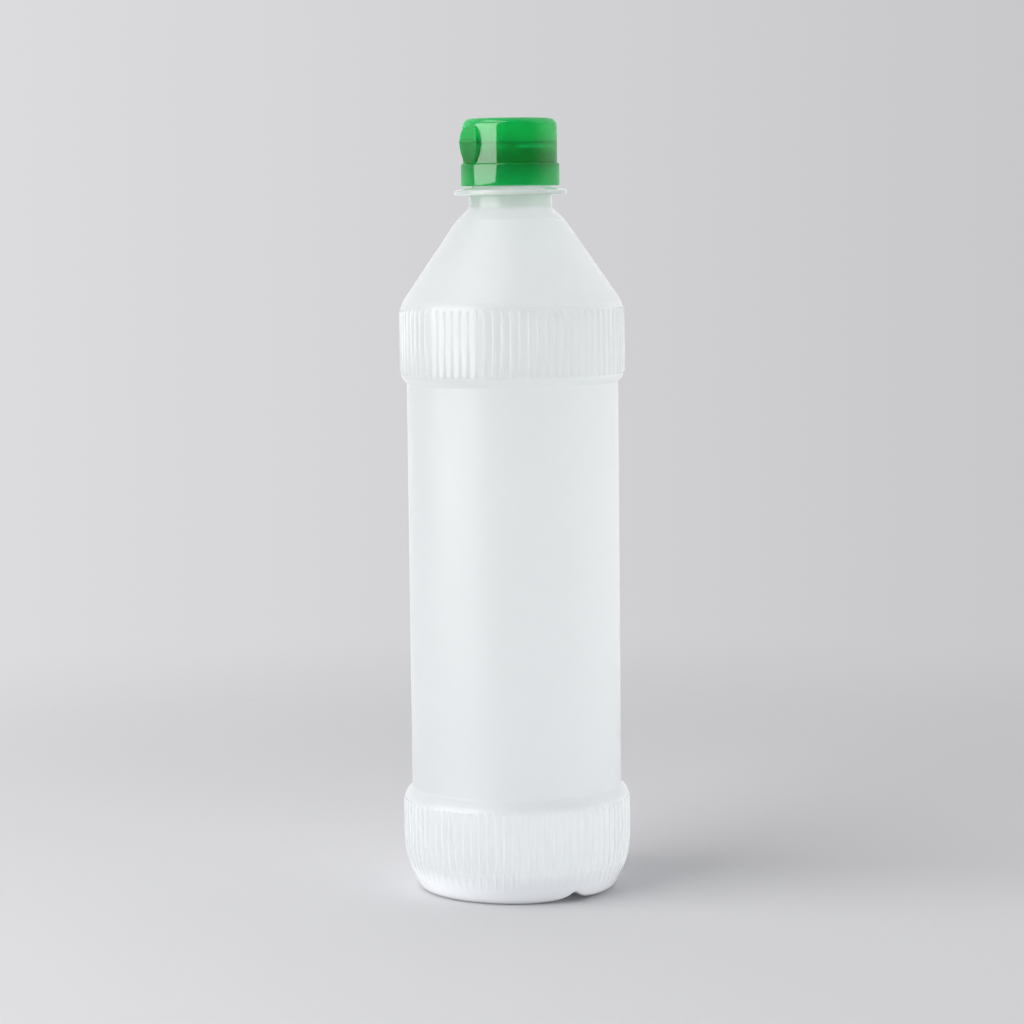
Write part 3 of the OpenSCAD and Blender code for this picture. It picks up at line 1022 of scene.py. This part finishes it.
@dataclass
class CapBase:
    """Screw cap: a skirt, a narrower collar, a deck with a spout, a plug ring and the hinge's lower pad."""

    material: Material
    sizes: CapSizes
    skirt_round: float = 0.3
    socket_round: float = 0.2
    spout_r: float = 2.6
    spout_z: float = 216.49
    spout_round: float = 0.3
    orifice_r: float = 1.7
    orifice_round: float = 0.2
    plug_r: float = 9.3
    plug_wall: float = 0.9
    plug_h: float = 3.0
    plug_round: float = 0.25
    pad_w: float = 4.2
    notch_r: float = 6.0
    notch_depth: float = 0.6
    notch_margin: float = 0.6
    notch_cuts: int = 3
    thread: Thread = Thread(crest=11.15, foot_z=206.6, turns=1.1, root_w=1.7, crest_w=0.7)

    def section(self) -> list[Point]:
        """Draw the cap's base.

        Returns:
            Its closed half-section.
        """
        s = self.sizes
        step = s.skirt_r - s.collar_r
        plug_inner, plug_z = self.plug_r - self.plug_wall, s.deck_z - self.plug_h
        return (
            [(s.socket_r, s.skirt_z), (s.skirt_r, s.skirt_z)]
            + arc((s.collar_r, s.collar_z - step), step, 0, 90, 5)
            + line((s.collar_r, s.collar_z), (s.collar_r, s.split_z), s.pad_steps)
            + [
                (s.inner_r, s.split_z), (s.inner_r, s.deck_top_z),
                (self.spout_r, s.deck_top_z), (self.spout_r, self.spout_z),
                (self.orifice_r, self.spout_z), (self.orifice_r, s.deck_z),
                (plug_inner, s.deck_z), (plug_inner, plug_z),
                (self.plug_r, plug_z), (self.plug_r, s.deck_z), (s.socket_r, s.deck_z),
            ]
        )

    def press_notch(self, bm: BMesh) -> None:
        """Press the thumb notch into the front of the collar.

        Args:
            bm: Mesh of the cap's base.
        """
        s = self.sizes
        centre = Vector((0, self.notch_depth - s.collar_r - self.notch_r, s.split_z - self.notch_depth))

        def close(vert: BMVert, radius: float) -> bool:
            """Tell whether a vertex of the collar lies within a radius of the notch's centre."""
            return (vert.co - centre).length < radius and vert.co.z > s.collar_z

        reach = self.notch_r + self.notch_margin
        near = [edge for edge in bm.edges if all(close(vert, reach) for vert in edge.verts)]
        bmesh.ops.subdivide_edges(bm, edges=near, cuts=self.notch_cuts, use_grid_fill=True)
        for vert in bm.verts:
            if close(vert, self.notch_r):
                vert.co = centre + (vert.co - centre).normalized() * self.notch_r

    def build_shell(self) -> BMesh:
        """Model the cap's base.

        Returns:
            A closed mesh.
        """
        s = self.sizes
        bm = lathe(self.section(), s.columns, closed=True)
        bmesh.ops.recalc_face_normals(bm, faces=bm.faces)
        s.pad(s.collar_z, self.pad_w, s.skirt_r, 1).raise_on(bm)
        for at, radius in (
            ((s.skirt_r, s.skirt_z), self.skirt_round),
            ((s.socket_r, s.skirt_z), self.socket_round),
            ((self.spout_r, self.spout_z), self.spout_round),
            ((self.orifice_r, self.spout_z), self.orifice_round),
            ((self.plug_r, s.deck_z - self.plug_h), self.plug_round),
        ):
            round_edges(bm, ring(bm, at), radius)
        self.press_notch(bm)
        return bm

    def build(self) -> None:
        """Model the cap's base and its thread, and tie them to the cap's body."""
        shell = add_piece("cap_shell", self.build_shell(), self.material)
        thread = add_piece("cap_thread", self.thread.build_helix(self.sizes.socket_r), self.material)
        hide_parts("cap_base")
        for piece in (shell, thread):
            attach(piece, Body.CAP.value)


@dataclass
class Lid:
    """Flip-up lid: a thin round cover with a sealing pin and the hinge's upper pad."""

    material: Material
    sizes: CapSizes
    top: float = 1.2
    round_r: float = 2.3
    inner_round: float = 1.2
    rim_round: float = 0.15
    pin_r: float = 1.35
    pin_z: float = 214.09
    pin_taper: float = 0.8
    pin_point: float = 0.4
    pad_w: float = 6.0
    pad_h: float = 4.3
    pad_out: float = 0.35

    def section(self) -> list[Point]:
        """Draw the lid.

        Returns:
            Its half-section, from the middle of its top to the tip of its pin.
        """
        s = self.sizes
        ceiling = s.top_z - self.top
        pad_top = s.split_z + self.pad_h
        return (
            [(0, s.top_z)]
            + line((0, s.top_z), (s.collar_r - self.round_r, s.top_z), 4)[:-1]
            + arc((s.collar_r - self.round_r, s.top_z - self.round_r), self.round_r, 90, 0, 12)
            + [(s.collar_r, pad_top)]
            + line((s.collar_r, pad_top), (s.collar_r, s.split_z), s.pad_steps)
            + [(s.inner_r, s.split_z)]
            + arc((s.inner_r - self.inner_round, ceiling - self.inner_round), self.inner_round, 0, 90, 6)
            + [
                (self.pin_r, ceiling), (self.pin_r, self.pin_z + self.pin_taper),
                (self.pin_r - self.pin_point, self.pin_z), (0, self.pin_z),
            ]
        )

    def build_shell(self) -> BMesh:
        """Model the lid.

        Returns:
            A closed mesh.
        """
        s = self.sizes
        bm = lathe(self.section(), s.columns)
        bmesh.ops.recalc_face_normals(bm, faces=bm.faces)
        s.pad(s.split_z + self.pad_h, self.pad_w, s.collar_r + self.pad_out, 2).raise_on(bm)
        round_edges(bm, ring(bm, (s.inner_r, s.split_z)), self.rim_round)
        return bm

    def build(self) -> None:
        """Model the lid and tie it to its body."""
        shell = add_piece("lid_shell", self.build_shell(), self.material)
        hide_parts("lid")
        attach(shell, Body.LID.value)


@dataclass
class HingeFilm:
    """Thin strip of plastic that joins the two hinge pads and folds outwards at the crease.

    Each half runs from its end, set into a pad, past the pad's edge and the fold's flank to the crease.
    """

    material: Material
    sizes: CapSizes
    width: float = 8.0
    thickness: float = 0.22
    end_in: float = 0.16
    end_h: float = 0.7
    edge_in: float = 0.02
    edge_h: float = 0.4
    flank_share: float = 0.6
    flank_h: float = 0.14
    out: float = 0.33
    bend_h: float = 0.35

    def build_strip(self) -> BMesh:
        """Model the strip.

        Returns:
            A closed mesh, folded as it is with the lid shut.
        """
        s = self.sizes
        bm = bmesh.new()
        flank = (self.out * self.flank_share, self.flank_h)
        half = [(-self.end_in, self.end_h), (-self.edge_in, self.edge_h), flank]
        folds = [(y, -z) for y, z in half] + [(self.out, 0.0)] + half[::-1]
        verts = [bm.verts.new((-self.width / 2, s.hinge_y + y, s.crease_z + z)) for y, z in folds]
        edges = [bm.edges.new(pair) for pair in pairwise(verts)]
        grown = bmesh.ops.extrude_edge_only(bm, edges=edges)["geom"]
        moved = [part for part in grown if isinstance(part, BMVert)]
        bmesh.ops.translate(bm, vec=(self.width, 0, 0), verts=moved)
        bmesh.ops.recalc_face_normals(bm, faces=bm.faces)
        bmesh.ops.solidify(bm, geom=bm.faces[:], thickness=self.thickness)
        return bm

    def build(self) -> None:
        """Model the strip where it lies between the cap and the lid."""
        strip = add_piece("hinge_film", self.build_strip(), self.material)
        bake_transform(strip)


def facing(back: Vector) -> Matrix:
    """Turn a lamp or a camera so that it looks against a direction."""
    return (-back).to_track_quat("-Z", "Y").to_matrix().to_4x4()


@dataclass(frozen=True)
class Softbox:
    """Soft rectangular lamp that faces the bottle.

    Its place is given in degrees to the left of the camera and above the aim. Its distance and its width and
    height are in metres, and its energy is in watts. Gloss shows it only if it is mirrored.
    """

    name: str
    left: float
    elevation: float
    distance: float
    size: tuple[float, float]
    energy: float
    mirrored: bool = True

    def hang(self, aim: Vector, back: Vector) -> None:
        """Add the lamp to the scene.

        Args:
            aim: Place that the lamp faces.
            back: Direction from there to the lamp.
        """
        data = bpy.data.lights.new(self.name, "AREA")
        data.shape = "RECTANGLE"
        data.size, data.size_y = self.size
        data.energy = self.energy
        lamp = bpy.data.objects.new(self.name, data)
        lamp.matrix_world = Matrix.Translation(aim + back * self.distance) @ facing(back)
        lamp.visible_camera = False
        lamp.visible_glossy = self.mirrored
        bpy.context.scene.collection.objects.link(lamp)


@dataclass
class Studio:
    """Pale paper floor that fades into grey air, three softboxes and the camera, in metres and degrees.

    The key makes the bright streak on the left. The high lamp lights the shoulder and the bands' upper edges,
    and the low one lifts the right side of the foot.
    """

    paper: Material
    air: StudioAir
    lamps: tuple[Softbox, ...] = (
        Softbox("key_softbox", left=63, elevation=16, distance=0.95, size=(1.1, 0.8), energy=11.5),
        Softbox("high_softbox", left=63, elevation=62, distance=0.95, size=(0.8, 0.45), energy=2.6),
        Softbox(
            "low_softbox", left=-75, elevation=-9, distance=0.5, size=(0.5, 0.05), energy=1.6, mirrored=False
        ),
    )
    backdrop_turn: float = 170.0
    floor_r: float = 1.6
    floor_rings: int = 12
    floor_columns: int = 96
    azimuth: float = 236.5
    elevation: float = 5.62
    distance: float = 0.909
    aim_z: float = 0.10898
    lens: float = 110.88
    sensor: float = 36.0
    roll: float = -0.64
    shift: float = -0.0019

    @property
    def aim(self) -> Vector:
        """Place on the bottle's axis that the camera and the lamps face."""
        return Vector((0, 0, self.aim_z))

    def direction(self, azimuth: float, elevation: float) -> Vector:
        """Unit vector from the aim, by degrees round the bottle from -Y and above the level."""
        a, e = math.radians(azimuth), math.radians(elevation)
        return Vector((math.sin(a) * math.cos(e), -math.cos(a) * math.cos(e), math.sin(e)))

    def build_stage(self) -> None:
        """Model the paper floor as a disc of rings that widen outwards."""
        steps = self.floor_rings
        rings = [(self.floor_r * (i / steps) ** 2 / MM, 0.0) for i in range(steps + 1)]
        add_piece("paper_floor", lathe(rings, self.floor_columns), self.paper)

    def build_light(self) -> None:
        """Hang the lamps and light the air."""
        for lamp in self.lamps:
            lamp.hang(self.aim, self.direction(self.azimuth - lamp.left, lamp.elevation))
        away = self.direction(self.azimuth + self.backdrop_turn, 0)
        bpy.context.scene.world = self.air.make(away, self.direction(self.azimuth + 90, 0))
        bpy.context.scene.view_settings.view_transform = "Standard"

    def build_camera(self) -> None:
        """Set the camera at the picture's viewing angle."""
        data = bpy.data.cameras.new("camera")
        data.lens = self.lens
        data.sensor_width = self.sensor
        data.shift_x = self.shift
        camera = bpy.data.objects.new("camera", data)
        back = self.direction(self.azimuth, self.elevation)
        turn = facing(back) @ Matrix.Rotation(math.radians(self.roll), 4, "Z")
        camera.matrix_world = Matrix.Translation(self.aim + back * self.distance) @ turn
        bpy.context.scene.collection.objects.link(camera)
        bpy.context.scene.camera = camera

    def build(self) -> None:
        """Set up the stage, the light and the camera."""
        self.build_stage()
        self.build_light()
        self.build_camera()


def dress_washer(foam: Material) -> None:
    """Give the seal washer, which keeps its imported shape, its foam.

    Args:
        foam: Finish of the washer.
    """
    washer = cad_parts["seal_washer"]
    washer.data.materials.clear()
    washer.data.materials.append(foam)
    LOG.info("seal_washer: dressed")


def main() -> None:
    """Build the studio and every piece in order."""
    logging.basicConfig(level=logging.INFO, format="%(message)s")
    Studio(StudioPaper().make(), StudioAir()).build()
    green = GreenPolypropylene().make()
    # The folded film is seen along its plane, so it gives the eye the deepest green and hardly any gloss; all
    # of it is painted in the deepest painted shade.
    film = GreenPolypropylene(
        name="green_polypropylene_film", lid_from_mm=230, deck_painted_shade=1.0, haze=0.2, transmission=0.4,
        gloss=0.02,
    ).make()
    sizes = CapSizes()
    Bottle(NaturalPolyethylene().make()).build()
    dress_washer(WasherFoam().make())
    CapBase(green, sizes).build()
    Lid(green, sizes).build()
    HingeFilm(film, sizes).build()


if __name__ == "__main__":
    main()
